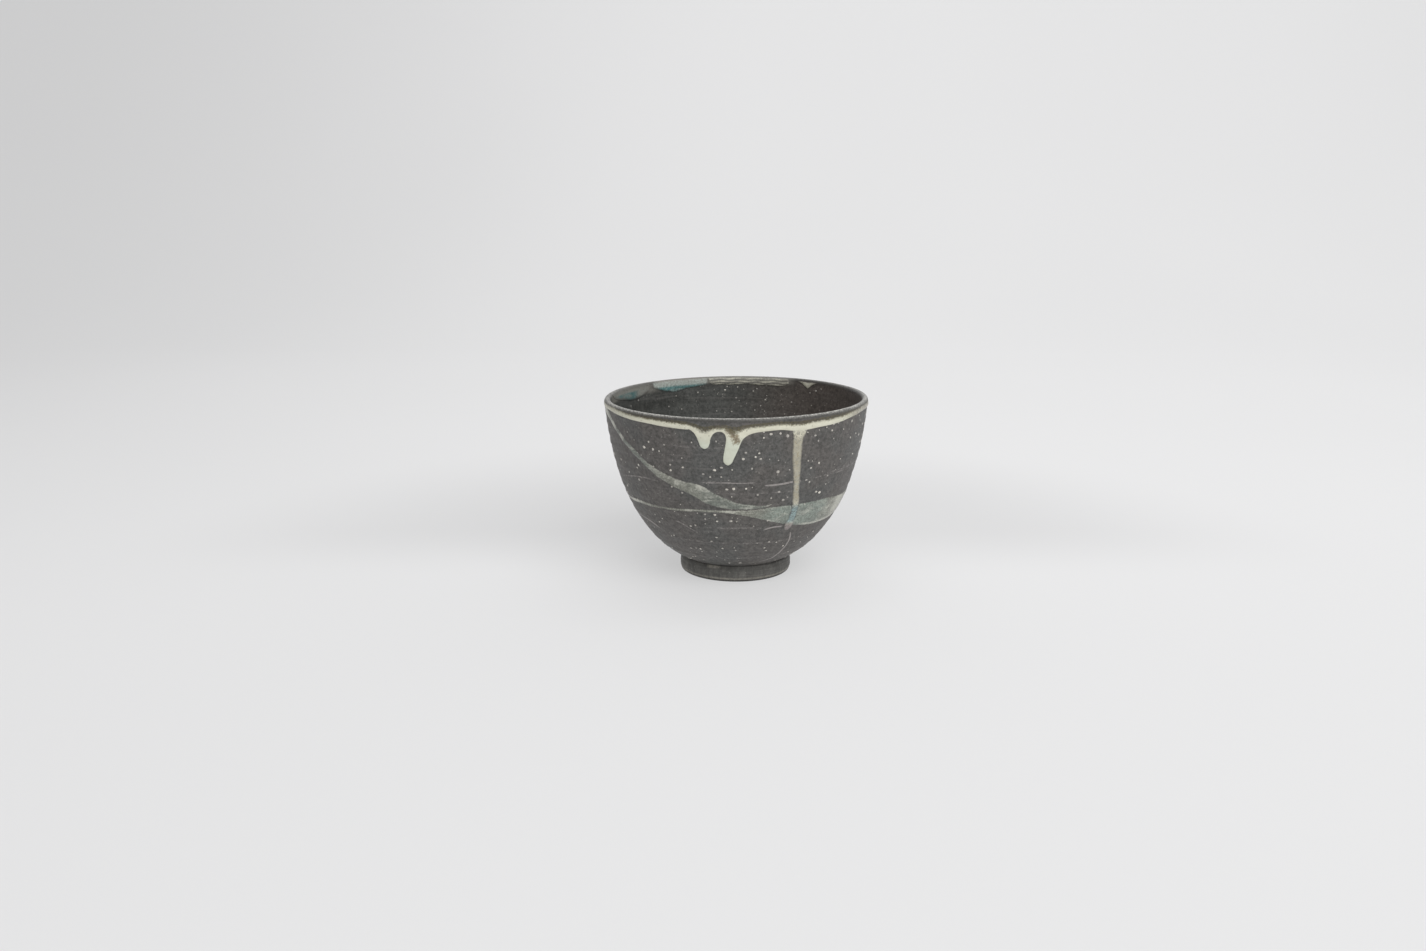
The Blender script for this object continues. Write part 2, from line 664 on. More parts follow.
# The two drips, as stretches of the trail's lower edge: (angle, height).
FIRST_DRIP = [
    (-20.1, 76.0), (-18.4, 74.9), (-17, 73.0), (-16.2, 70.7), (-15.4, 68.8), (-13.7, 68.0),
    (-12.2, 68.8), (-11.5, 70.7), (-11.1, 72.6), (-10.2, 74.3), (-8.6, 75.4),
]
SECOND_DRIP = [
    (-6.7, 75.4), (-5.5, 74.4), (-5.1, 72.8), (-5.3, 70.5), (-5.8, 67.6), (-6.3, 64.4), (-6, 62.3),
    (-4.4, 61.1), (-2.8, 62.0), (-1.6, 64.5), (-0.3, 67.4), (0.8, 70.3), (1.8, 72.5), (3.9, 74.2),
    (6.8, 75.1),
]
LONG_RUN = [
    (21.4, 76.5), (22.2, 73.0), (22.3, 66.9), (23.0, 61.0), (24.1, 54.6), (25.1, 48.2),
    (25.9, 42.2), (25.9, 36.2), (24.7, 32.6), (25.3, 29.7), (27.6, 28.7), (29.7, 29.9),
    (30.3, 33.1), (30.5, 37.1), (30.1, 42.7), (28.9, 48.1), (28.2, 53.1), (27.8, 58.1), (27.4, 63.0),
    (27.3, 67.9), (27.5, 72.0), (28.7, 74.4), (29.8, 76.5),
]
SASH = [
    (-86, 77.2, 78.8), (-79, 75.7, 78.5), (-72, 73.9, 77.8), (-66, 70.7, 73.7), (-60, 67.0, 69.9),
    (-55, 63.9, 66.7), (-49, 60.1, 63.6), (-43, 56.3, 59.4), (-37, 52.6, 56.7), (-31, 50.1, 54.6),
    (-25, 48.0, 53.0), (-19, 45.6, 52.2), (-15, 43.3, 51.0), (-11, 42.1, 48.7), (-6, 41.1, 46.4),
    (0, 40.8, 44.0), (7, 40.7, 43.0), (13, 41.2, 42.5), (15.8, 42.5, 43.2),
]
SWEEP = [
    (-86, 36.9, 38.1), (-72, 36.7, 38.3), (-58, 37.5, 39.1), (-46, 37.7, 39.0), (-34, 38.1, 39.1),
    (-19.5, 38.8, 40.1), (-8, 39.1, 40.4), (0, 38.4, 40.5), (7.5, 36.7, 40.6), (15, 34.7, 41.4),
    (23, 32.7, 41.6), (31.5, 31.0, 41.6), (40, 29.7, 41.7), (50, 29.4, 41.5), (61, 29.5, 40.6),
    (74, 30.8, 40.2), (90, 33.2, 41.4), (108, 37.2, 45.2), (126, 43.0, 50.8), (144, 51.0, 57.4),
    (162, 60.1, 65.5), (178, 68.5, 72.9), (192, 74.9, 77.9), (202, 78.0, 79.8),
]
# Patches that hang inside from the rim: (angle, height) along their lower edge.
LEFT_PATCH = [
    (-95, 81.0), (-99, 78.3), (-106.5, 76.3), (-113, 75.3), (-119.5, 74.4), (-126.5, 75.0),
    (-130, 76.1), (-133.5, 78.1), (-133, 81.0),
]
BACK_PATCH = [
    (-135.0, 81.1), (-136, 78.5), (-140, 76.8), (-145, 75.7), (-149, 75.2), (-155, 76.4),
    (-162, 77.2), (-166.5, 78.4), (-166.5, 81.1),
]
BACK_BAND = [
    (193.0, 81.1), (192.4, 78.4), (184.5, 77.6), (176.5, 77.8), (166.5, 77.6), (156.5, 77.5),
    (151.5, 78.9), (152, 81.1),
]
RIGHT_DRIP = [
    (147, 80.5), (144.5, 79.6), (142.5, 78.5), (140.5, 77.5), (138.5, 78.8), (136.5, 79.7),
    (134, 80.5),
]


# Heights of the glazes above the skin.
LEAST_LIFT = 0.02
TRAIL_LIFT = 0.36
TIP_LIFT = 0.16
RUN_LIFT = 0.3
SASH_LIFT = 0.16
SWEEP_LIFT = 0.17
PATCH_LIFT = 0.2
DRIP_LIFT = 0.3
STREAK_LIFT = 0.05


def to_map(turned, s):
    """Place on the skin to the flat map."""
    reach = FLAT_SCALE * np.exp(-np.interp(s, PROFILE[:, 0], FLAT_T))
    return np.stack([reach * np.cos(turned), reach * np.sin(turned)], axis=-1)


def from_map(flat):
    reach = np.hypot(flat[..., 0], flat[..., 1])
    s = np.interp(-np.log(reach / FLAT_SCALE), FLAT_T, PROFILE[:, 0])
    return np.arctan2(flat[..., 1], flat[..., 0]), s


def map_scale(flat):
    """Millimetres on the skin for one unit of the map."""
    _, s = from_map(flat)
    return on_profile(s, 1) / np.hypot(flat[..., 0], flat[..., 1])


def smooth_line(points, step, closed):
    """Points about step apart on a rounded curve through the given ones."""
    points = np.asarray(points, dtype=float)
    count = len(points)
    result = []
    for k in range(count if closed else count - 1):
        if closed:
            before, start, end, after = (points[(k + j) % count] for j in (-1, 0, 1, 2))
        else:
            before, start, end, after = (points[min(max(k + j, 0), count - 1)] for j in (-1, 0, 1, 2))
        knots = [0.0]
        for first, second in ((before, start), (start, end), (end, after)):
            knots.append(knots[-1] + max(1e-3, math.sqrt(np.linalg.norm(second - first))))
        parts = max(1, int(round(np.linalg.norm(end - start) / step)))
        for t in np.linspace(knots[1], knots[2], parts, endpoint=False):
            result.append(spline_point((before, start, end, after), knots, t))
    if not closed:
        result.append(points[-1])
    return np.array(result)


def blend_points(first, second, low, high, t):
    share = (t - low) / (high - low)
    return first * (1.0 - share) + second * share


def spline_point(points, knots, t):
    """Point of a centripetal Catmull-Rom curve between the two middle points."""
    singles = [blend_points(points[k], points[k + 1], knots[k], knots[k + 1], t) for k in range(3)]
    pairs = [blend_points(singles[k], singles[k + 1], knots[k], knots[k + 2], t) for k in range(2)]
    return blend_points(pairs[0], pairs[1], knots[1], knots[2], t)


def edge_on_map(table, side):
    """(angle, height) pairs as map points."""
    turned = np.radians([row[0] for row in table])
    return to_map(turned, s_at_height(np.array([row[1] for row in table]), side))


def inside_loops(flat, loops):
    """True where a map point is inside an odd number of loops."""
    odd = np.zeros(len(flat), dtype=bool)
    for loop in loops:
        following = np.roll(loop, -1, axis=0)
        for (x0, y0), (x1, y1) in zip(loop, following):
            crosses = (y0 > flat[:, 1]) != (y1 > flat[:, 1])
            if y0 != y1:
                odd ^= crosses & (flat[:, 0] < (x1 - x0) * (flat[:, 1] - y0) / (y1 - y0) + x0)
    return odd


def distance_to(flat, lines):
    """Millimetres from each map point to the nearest of the open or closed lines of map points."""
    best = np.full(len(flat), 1e9)
    for line in lines:
        starts, ends = line[:-1], line[1:]
        for start in range(0, len(flat), 2000):
            some = flat[start:start + 2000, None, :]
            along = ends - starts
            length = np.maximum((along ** 2).sum(-1), 1e-12)
            share = np.clip(((some - starts) * along).sum(-1) / length, 0.0, 1.0)
            gap = np.linalg.norm(some - (starts + along * share[..., None]), axis=-1).min(axis=1)
            best[start:start + 2000] = np.minimum(best[start:start + 2000], gap)
    return best * map_scale(flat)


def closed_line(loop):
    return np.vstack([loop, loop[:1]])


def fill_points(loops, spacing):
    """Even rows of map points inside the loops, no nearer to them than part of the spacing."""
    _, s = from_map(np.vstack(loops))
    rows = np.arange(s.min() + spacing * 0.5, s.max(), spacing * 0.87)
    made = []
    for number, row in enumerate(rows):
        columns = int(2.0 * math.pi * on_profile(row, 1) / spacing)
        angles = (np.arange(columns) + 0.5 * (number % 2)) * 2.0 * math.pi / columns
        made.append(to_map(angles, np.full(columns, row)))
    made = np.vstack(made)
    made = made[inside_loops(made, loops)]
    return made[distance_to(made, [closed_line(loop) for loop in loops]) > spacing * 0.55]


def square_to(ahead):
    """Unit vectors on the map, a quarter turn from the given ones."""
    ahead = ahead / np.linalg.norm(ahead, axis=1)[:, None]
    return np.stack([-ahead[:, 1], ahead[:, 0]], axis=1)


def offset_rings(loops, depths):
    """Points at set depths inside the loops, where they don't run into another edge."""
    made = []
    lines = [closed_line(loop) for loop in loops]
    for loop in loops:
        sideways = square_to(np.roll(loop, -1, axis=0) - np.roll(loop, 1, axis=0))
        probe = loop + sideways * 1e-3
        sideways[~inside_loops(probe, loops)] *= -1.0
        for depth in depths:
            ring = loop + sideways * (depth / map_scale(loop))[:, None]
            ring = ring[inside_loops(ring, loops)]
            made.append(ring[distance_to(ring, lines) > depth * 0.92])
    return np.vstack(made)


def build_glaze(name, loops, spacing, thickness, side_depth=0.15, depths=(0.13, 0.32), extra=None):
    """A closed layer of glaze on the skin inside the loops, which are lines of map points.

    thickness(turned, s, edge) gives its height above the skin, edge being the distance to the loops.
    extra(turned, s, flat) may give more attributes for the material, as arrays or single numbers.
    """
    rings = offset_rings(loops, depths)
    inner = fill_points(loops, spacing)
    lines = [closed_line(loop) for loop in loops]
    inner = inner[distance_to(inner, lines) > depths[-1] + spacing * 0.45]
    outline = np.vstack(loops)
    places = np.vstack([outline, rings, inner])
    edges = []
    start = 0
    for loop in loops:
        count = len(loop)
        edges.extend((start + k, start + (k + 1) % count) for k in range(count))
        start += count
    found = delaunay_2d_cdt([Vector(place) for place in places.tolist()], edges, [], 0, 1e-5)
    flat = np.array([tuple(place) for place in found[0]])
    faces = np.array([face for face in found[2] if len(face) == 3])
    middles = flat[faces].mean(axis=1)
    faces = faces[inside_loops(middles, loops)]
    used = np.unique(faces)
    renumber = np.full(len(flat), -1)
    renumber[used] = np.arange(len(used))
    flat = flat[used]
    faces = renumber[faces]
    edge = distance_to(flat, lines)
    turned, s = from_map(flat)
    lift = np.maximum(thickness(turned, s, edge), 0.0) + LEAST_LIFT
    top = skin_points(turned, s, lift)
    bottom = skin_points(turned, s, -side_depth)
    # The map is seen from above the skin on one side of the crest, so check which way faces point.
    corners = faces[0]
    first = top[corners]
    normal = np.cross(first[1] - first[0], first[2] - first[0])
    outward = (skin_points(turned[corners], s[corners], 1.0) - skin_points(turned[corners], s[corners]))[0]
    if normal @ outward < 0.0:
        faces = faces[:, ::-1]
    count = len(flat)
    sides = {}
    for face in faces:
        for k in range(3):
            sides[(face[k], face[(k + 1) % 3])] = True
    border = [pair for pair in sides if (pair[1], pair[0]) not in sides]
    every_face = [tuple(face) for face in faces.tolist()]
    every_face += [tuple(count + k for k in reversed(face)) for face in faces.tolist()]
    every_face += [(int(b), int(a), int(count + a), int(count + b)) for a, b in border]
    attributes = {"edge": np.tile(edge, 2), "lift": np.tile(lift, 2)}
    for label, values in (extra(turned, s, flat) if extra else {}).items():
        attributes[label] = np.tile(np.broadcast_to(values, turned.shape), 2)
    sharp = np.zeros(2 * count, dtype=bool)
    sharp[np.unique(np.array(border))] = True
    return new_mesh(name, np.vstack([top, bottom]), every_face, attributes, sharp)


def strip_edges(stations):
    """Lower and upper edge of a strip given as (angle, lower edge, upper edge)."""
    lower = edge_on_map([(angle, low) for angle, low, _ in stations], 1)
    upper = edge_on_map([(angle, high) for angle, _, high in stations], 1)
    return smooth_line(lower, 0.5, False), smooth_line(upper, 0.5, False)


def hanging_loop(table, side):
    """A loop with a rounded lower edge and a straight top."""
    step = 0.4
    lower = smooth_line(edge_on_map(table, side), step, False)
    parts = max(2, int(np.linalg.norm(lower[-1] - lower[0]) / step))
    ends_turned, ends_s = from_map(np.stack([lower[-1], lower[0]]))
    swing = (ends_turned[1] - ends_turned[0] + math.pi) % (2.0 * math.pi) - math.pi
    share = np.linspace(0.0, 1.0, parts + 1)[1:-1]
    top = to_map(ends_turned[0] + swing * share, ends_s[0] + (ends_s[1] - ends_s[0]) * share)
    return np.vstack([lower, top])


def cream_ring_edges():
    """The trail's lower edge with its drips, and its upper edge, both closed."""
    low = [(angle, height) for angle, height, _ in CREAM_RING]
    before = [row for row in low if row[0] < FIRST_DRIP[0][0]]
    after = [row for row in low if row[0] > SECOND_DRIP[-1][0]]
    lower = before + FIRST_DRIP + SECOND_DRIP + after
    upper = [(angle, height) for angle, _, height in CREAM_RING]
    return smooth_line(edge_on_map(lower, 1), 0.42, True), smooth_line(edge_on_map(upper, 1), 0.45, True)


def near_place(turned, s, angle, height, reach):
    """1 at a place on the outside, falling off to 0 over a reach in millimetres."""
    middle = s_at_height(height, 1)
    off = (turned - math.radians(angle) + math.pi) % (2.0 * math.pi) - math.pi
    gap = np.hypot(off * on_profile(s, 1), s - middle)
    return np.exp(-(gap / reach) ** 2)


def cream_material(name, see_through=0.0, within=0.0):
    """Cream glaze, olive brown where it thins at its upper edge, over the dark coat."""
    shader = Shader(name)
    coat_colour, coat_roughness, coat_height = dark_coat(shader, within)
    coat_colour = hazed(shader, coat_colour)
    cloud = shader.noise(3.2, 3.0, 0.6)
    grainy = shader.noise(0.7, 3.0, 0.7)
    speckled = shader.noise(0.9, 3.0, 0.75)
    cream = shader.mix(shader.attribute("cool"), CREAM, CREAM_GREEN)
    cream = shader.mix(shader.ramp(cloud, 0.3, 0.75, 0.0, 0.35), cream, CREAM_SHADE)
    tan = shader.product(shader.attribute("tan"), shader.ramp(cloud, 0.25, 0.7, 0.6, 1.0))
    cream = shader.mix(tan, cream, CREAM_TAN)
    cream = shader.mix(shader.attribute("blue"), cream, RUN_BLUE)
    cream = shader.mix(shader.attribute("pink"), cream, RUN_PINK)
    # Specks of the brown coat that come through.
    speck = shader.specks(1.1, (0.12, 0.3), "Red", (0.84, 0.9))
    cream = shader.mix(shader.product(speck, 0.6), cream, BROWN_DARK)
    mottle = shader.attribute("mottle")
    spots = shader.ramp(shader.sum(mottle, speckled), 0.82, 1.12)
    cream = shader.mix(shader.product(spots, 0.8), cream, BROWN)
    dark_spots = shader.ramp(shader.sum(mottle, grainy), 1.05, 1.3)
    cream = shader.mix(shader.product(dark_spots, 0.8), cream, BROWN_DARK)
    fade = shader.sum(shader.attribute("top_fade"), shader.swing(grainy, 2.2), shader.swing(cloud, 1.6))
    olive = shader.mix(shader.ramp(cloud, 0.3, 0.7), OLIVE, OLIVE_DARK)
    colour = shader.mix(shader.ramp(fade, 0.1, 1.5), olive, cream)
    wander = shader.sum(shader.swing(grainy, 0.4 + see_through), shader.swing(cloud, 0.2 + see_through))
    thin = shader.sum(shader.attribute("edge"), wander)
    cover = shader.ramp(thin, 0.0, 0.22 + see_through * 1.3)
    kept = shader.sum(shader.attribute("strength"), shader.swing(grainy, 0.9))
    cover = shader.product(cover, shader.ramp(kept, 0.2, 0.75))
    if see_through:
        cover = shader.product(cover, shader.ramp(speckled, 0.3, 0.62, 1.0 - see_through, 1.0))
    colour = shader.mix(cover, coat_colour, colour)
    roughness = shader.mix(cover, coat_roughness, 0.3, "FLOAT")
    height = shader.sum(shader.product(coat_height, 0.35), shader.product(grainy, 0.25))
    shader.bump(height, 0.05)
    return shader.finish(colour, roughness, 0.5)


def celadon_material(name, plain, other, pale, edge_width=0.45, within=0.0):
    """Thin grey-green glaze through which the dark coat and its grains show."""
    shader = Shader(name)
    coat_colour, coat_roughness, coat_height = dark_coat(shader, within)
    coat_colour = hazed(shader, coat_colour)
    cloud = shader.noise(6.0, 3.0, 0.6)
    grainy = shader.noise(0.8, 3.0, 0.7)
    streaks = shader.noise(2.2, 3.0, 0.6, stretch=(0.25, 0.25, 1.0), twist=0.6)
    green = shader.ramp(shader.sum(shader.attribute("blue"), shader.swing(cloud, 0.8)), 0.1, 0.9)
    glaze = shader.mix(green, plain, other)
    glaze = shader.mix(shader.ramp(streaks, 0.46, 0.68, 0.0, 0.5), glaze, pale)
    tone = shader.product(
        shader.ramp(grainy, 0.32, 0.68, 0.76, 1.22), shader.ramp(cloud, 0.3, 0.7, 0.92, 1.08))
    glaze = shader.brighten(glaze, tone)
    rim = shader.ramp(shader.sum(shader.attribute("pale"), shader.swing(grainy, 0.8)), 0.15, 0.9)
    glaze = shader.mix(shader.product(rim, 0.85), glaze, pale)
    wander = shader.sum(shader.swing(grainy, 0.9), shader.swing(cloud, 0.5))
    cover = shader.ramp(shader.sum(shader.attribute("edge"), wander), -0.08, edge_width)
    cover = shader.product(
        cover, shader.ramp(grainy, 0.3, 0.6, 0.7, 0.98), shader.ramp(cloud, 0.3, 0.6, 0.84, 1.0))
    kept = shader.sum(shader.attribute("strength"), shader.swing(grainy, 0.8))
    cover = shader.product(cover, shader.ramp(kept, 0.1, 0.9))
    colour = shader.mix(cover, coat_colour, glaze)
    roughness = shader.mix(cover, coat_roughness, 0.38, "FLOAT")
    height = shader.sum(shader.product(coat_height, 0.7), shader.product(grainy, 0.2))
    shader.bump(height, 0.06)
    return shader.finish(colour, roughness, 0.45)


def streak_material():
    """Thin broken smears of pale slip."""
    shader = Shader("pale_slip")
    coat_colour, coat_roughness, coat_height = dark_coat(shader)
    grainy = shader.noise(0.8, 3.0, 0.7)
    broken = shader.noise(2.2, 2.0, 0.6)
    cover = shader.ramp(shader.sum(shader.attribute("edge"), shader.swing(grainy, 0.3)), 0.0, 0.3)
    kept = shader.sum(shader.attribute("strength"), shader.swing(grainy, 0.7), shader.swing(broken, 1.0))
    cover = shader.product(cover, shader.ramp(kept, 0.25, 0.9), 0.9)
    colour = shader.mix(cover, coat_colour, LINE_PALE)
    shader.bump(coat_height, 0.08)
    return shader.finish(colour, coat_roughness)


def clay_material(name, plain, rubbed):
    """Bare fired clay with turning lines."""
    shader = Shader(name)
    patchy = shader.noise(5.0, 3.0, 0.6)
    mottled = shader.noise(1.3, 3.0, 0.7)
    fine = shader.noise(0.4, 2.0, 0.7)
    turning = shader.noise(0.9, 2.0, 0.6, stretch=(0.05, 0.05, 1.0))
    tone = shader.product(
        shader.ramp(patchy, 0.3, 0.7, 0.84, 1.1), shader.ramp(mottled, 0.3, 0.7, 0.84, 1.16),
        shader.ramp(fine, 0.2, 0.8, 0.84, 1.16))
    wiped = shader.noise(1.6, 2.0, 0.6, stretch=(1, 1, 0.15))
    colour = shader.brighten(plain, shader.product(tone, shader.ramp(wiped, 0.35, 0.65, 0.86, 1.14)))
    colour = shader.mix(shader.ramp(turning, 0.5, 0.8, 0.0, 0.25), colour, LINE_PALE)
    grain = shader.specks(1.4, (0.06, 0.2), "Green", (0.68, 0.74))
    colour = shader.mix(shader.product(grain, 0.6), colour, GRAIN_GREY)
    rub = shader.product(shader.attribute("rub"), shader.ramp(mottled, 0.3, 0.65, 0.25, 1.0))
    colour = shader.mix(shader.product(rub, 0.8), colour, rubbed)
    colour = shader.mix(shader.product(shader.attribute("dark"), 0.8), colour, COAT_DEEP)
    height = shader.sum(shader.product(fine, 0.6), shader.product(turning, 0.6))
    shader.bump(height, 0.09)
    return shader.finish(colour, shader.ramp(patchy, 0.3, 0.7, 0.5, 0.68), 0.4)


# Where brown comes through the second drip: (angle, height, reach, amount).
BROWN_PLACES = [
    (-4.2, 76.2, 2.4, 0.5), (-1.8, 74.2, 2.2, 0.5), (0.1, 71.8, 2.1, 0.5), (-2.4, 70.2, 2.0, 0.3),
]


def build_cream_trail():
    lower, upper = cream_ring_edges()
    tips = [(-13.8, 69.9, 2.6), (-4.5, 63.0, 2.6), (26.6, 75.8, 3.5)]

    def thickness(turned, s, edge):
        to_lower = distance_to(to_map(turned, s), [closed_line(lower)])
        to_upper = distance_to(to_map(turned, s), [closed_line(upper)])
        bead = TRAIL_LIFT * rounded(to_lower, 1.0) * rounded(to_upper, 0.8)
        bead *= 0.3 + 0.7 * smooth_step(to_upper, 0.0, 1.8)
        for angle, height, reach in tips:
            bead += TIP_LIFT * near_place(turned, s, angle, height, reach) * rounded(edge, 1.6)
        return bead + 0.03 * waves(turned, s, *TRAIL_RIPPLES) * rounded(edge, 1.0)

    def extra(turned, s, flat):
        height = on_profile(s, 2)
        degrees = np.degrees(turned)
        mottle = sum(amount * near_place(turned, s, angle, level, reach)
                     for angle, level, reach, amount in BROWN_PLACES)
        # The trail is thin and greyish at both ends of what faces the front.
        weak = np.maximum(0.8 * between(degrees, -96.0, -52.0, 14.0), between(degrees, 50.0, 98.0, 12.0))
        # Over the drips it turns brown more slowly.
        slow = near_place(turned, s, -13.5, 76.0, 3.5) + near_place(turned, s, -2.5, 76.0, 4.0)
        below = distance_to(flat, [closed_line(upper)])
        return {
            "top_fade": below * (1.0 - 0.55 * np.minimum(slow, 1.0)) + 0.35 * weak,
            "mottle": np.clip(mottle, 0.0, 0.62),
            "cool": np.maximum(0.7 * smooth_step(75.3 - height, 0.0, 6.0), weak * 0.5),
            "tan": weak * 0.65,
            "blue": 0.0,
            "pink": 0.4 * smooth_step(degrees, 45.0, 75.0) * weak,
            "strength": 1.0 - 0.42 * weak,
        }

    return build_glaze("cream_trail_glaze", [lower, upper], 0.45, thickness, extra=extra)


def build_cream_run():
    loop = hanging_loop(LONG_RUN, 1)

    def thickness(turned, s, edge):
        ripples = 0.04 * waves(turned, s, *RUN_RIPPLES)
        return RUN_LIFT * rounded(edge, 1.3) + ripples * rounded(edge, 1.0)

    def extra(turned, s, flat):
        height = on_profile(s, 2)
        brown = between(height, 42.0, 73.0, 3.0)
        low = 1.0 - smooth_step(height, 31.0, 34.0)
        return {
            "top_fade": 3.0,
            "mottle": 0.42 * brown,
            "cool": 0.0,
            "tan": 0.35 * smooth_step(75.5 - height, 0.0, 3.0),
            "blue": between(height, 33.0, 41.0, 1.5),
            "pink": low,
            "strength": 0.85 - 0.3 * between(height, 33.0, 42.0, 2.0) - 0.2 * low,
        }

    return build_glaze("cream_run_glaze", [loop], 0.42, thickness, extra=extra)


def build_strip(name, stations, lift, pale_places, ends, edges, blue):
    """A celadon strip. pale_places are (angle, height, reach), ends the angles over which it fades.

    edges says between which angles its upper and lower edges are pale, and blue where it is blue-green.
    """
    lower, upper = strip_edges(stations)
    loop = np.vstack([lower, upper[::-1]])

    def thickness(turned, s, edge):
        ripples = 0.25 * waves(turned, s, *STRIP_RIPPLES)
        return lift * smooth_step(edge, 0.0, 1.6) * (1.0 + ripples)

    def extra(turned, s, flat):
        degrees = np.degrees(turned)
        degrees = np.where(degrees < stations[0][0] - 1.0, degrees + 360.0, degrees)
        pale = np.zeros_like(s)
        for angle, height, reach in pale_places:
            pale = np.maximum(pale, near_place(turned, s, angle, height, reach))
        upper_line = np.exp(-((distance_to(flat, [upper]) - 0.6) / 0.5) ** 2)
        upper_line *= between(degrees, *edges[0], 6.0)
        lower_line = np.exp(-((distance_to(flat, [lower]) - 0.9) / 0.7) ** 2)
        lower_line *= between(degrees, *edges[1], 6.0)
        strength = smooth_step(degrees, ends[0], ends[1]) * (1.0 - smooth_step(degrees, ends[2], ends[3]))
        return {
            "pale": np.clip(pale + 0.5 * upper_line + lower_line, 0.0, 1.0),
            "strength": strength,
            "blue": between(degrees, blue[0], blue[1], 12.0),
        }

    return build_glaze(name, [loop], 0.55, thickness, side_depth=0.12, extra=extra)


# Pale places on the two celadon strips: (angle, height, reach).
SASH_PALE = [
    (-17.3, 50.9, 1.5), (14.6, 42.7, 1.1), (-28.0, 51.6, 1.2), (-82.0, 77.2, 4.0),
    (-75.0, 75.6, 4.0), (-66.0, 72.2, 3.0), (-59.0, 68.0, 2.0),
]
SWEEP_PALE = [(64.0, 36.5, 7.0), (-24.0, 39.0, 2.4), (-4.0, 39.6, 2.4), (-62.0, 38.2, 7.0)]
# Smears of pale slip: (half width, strength, line of (angle, height) places).
STREAKS = [
    (0.45, 0.55, [(-68, 48.6), (-60, 50.0), (-53, 51.0), (-46, 51.5), (-38, 51.2)]),
    (0.6, 0.7, [(-70, 30.3), (-61, 29.4), (-54, 28.1), (-49, 26.6)]),
    (0.45, 0.5, [(-34, 33.0), (-30, 32.1), (-25.5, 29.9), (-21.5, 27.6)]),
    (0.3, 0.6, [(-26.2, 18.8), (-20.5, 18.0)]),
    (0.34, 0.72, [(-16, 53.0), (-5.5, 53.2), (7, 53.3)]),
    (0.6, 0.75, [(11.5, 51.8), (18.6, 52.0), (25, 52.6), (29, 52.5)]),
    (0.42, 0.45, [(34, 52.8), (39.8, 53.2), (47, 53.4), (57, 53.3)]),
    (1.1, 0.32, [(55, 55.5), (63, 56.0), (72, 56.8)]),
    (0.3, 0.68, [(-6.5, 31.6), (1.5, 31.6), (9, 31.6)]),
    (0.55, 0.85, [(13, 30.0), (18, 31.2), (24.6, 31.4)]),
    (0.5, 0.95, [
        (30.6, 27.6), (32.2, 24.5), (32.7, 22), (32.2, 19.4), (31, 16.4), (29, 13.2), (25, 11.7),
        (18.8, 10.7)]),
    (0.28, 0.6, [(-28.2, 68.4), (-21, 68.7)]),
    (0.28, 0.6, [(-10.4, 68.6), (-6.9, 68.6)]),
    (0.45, 0.55, [(104, 61.5), (120, 62.6), (137, 62.9)]),
    (0.4, 0.6, [(150, 31.2), (168, 30.6), (184, 31.4)]),
    (0.5, 0.45, [(212, 47.2), (226, 48.8), (243, 49.2)]),
    (0.35, 0.6, [(-104, 22.4), (-92, 20.8), (-84, 20.4)]),
]


def build_streaks():
    """All smears as one very thin layer on the outer coat."""
    loops, fades = [], []
    for half_width, strength, places in STREAKS:
        middle = smooth_line(edge_on_map(places, 1), 0.5, False)
        sideways = square_to(np.gradient(middle, axis=0))
        share = np.linspace(0.0, 1.0, len(middle))
        taper = np.sqrt(np.clip(np.minimum(share, 1.0 - share) * 8.0, 0.04, 1.0))
        off = sideways * (half_width * taper / map_scale(middle))[:, None]
        loops.append(np.vstack([middle + off, (middle - off)[::-1]]))
        fades.append((middle, strength))

    def thickness(turned, s, edge):
        return STREAK_LIFT * smooth_step(edge, 0.0, 0.4)

    def extra(turned, s, flat):
        nearest = np.full_like(s, 1e9)
        result = np.zeros_like(s)
        for middle, strength in fades:
            gap = distance_to(flat, [middle])
            result = np.where(gap < nearest, strength, result)
            nearest = np.minimum(gap, nearest)
        return {"strength": result}

    return build_glaze("pale_streaks", loops, 0.5, thickness, side_depth=0.1, depths=(0.12, 0.3), extra=extra)


def build_patch(name, table, lift, cream=0.0, teal=1.0, pale_from=76.5, hazy_side=False):
    """A patch inside the rim. cream is how solid a cream one is, and 0 for celadon.

    A celadon one is pale above pale_from, and with a hazy side also toward its end.
    """
    loop = hanging_loop(table, -1)

    def thickness(turned, s, edge):
        return lift * rounded(edge, 1.2)

    def extra(turned, s, flat):
        height = on_profile(s, 2)
        if cream:
            lines = 0.5 + 0.5 * np.cos((height - 78.0) * 2.0 * math.pi / 1.3 + 0.8 * np.sin(turned * 40.0))
            lines *= 0.7 + 0.3 * np.sin(turned * 31.0 + height * 2.0)
            return {
                "top_fade": 3.0, "mottle": 0.1, "tan": 0.0, "cool": 0.0, "blue": 0.0, "pink": 0.1,
                "strength": cream + 0.8 * lines, "haze": haze_within(turned, height),
            }
        pale = smooth_step(height, pale_from, pale_from + 2.8)
        if hazy_side:
            degrees = half_turn(np.degrees(turned))
            pale = np.maximum(pale, smooth_step(-degrees, 116.0, 130.0))
        return {
            "pale": pale, "strength": 1.0 - 0.35 * pale, "blue": teal,
            "haze": haze_within(turned, height),
        }

    return build_glaze(name, [loop], 0.45, thickness, side_depth=0.12, extra=extra)


# ---- Foot ring and clay body --------------------------------------------------------------------

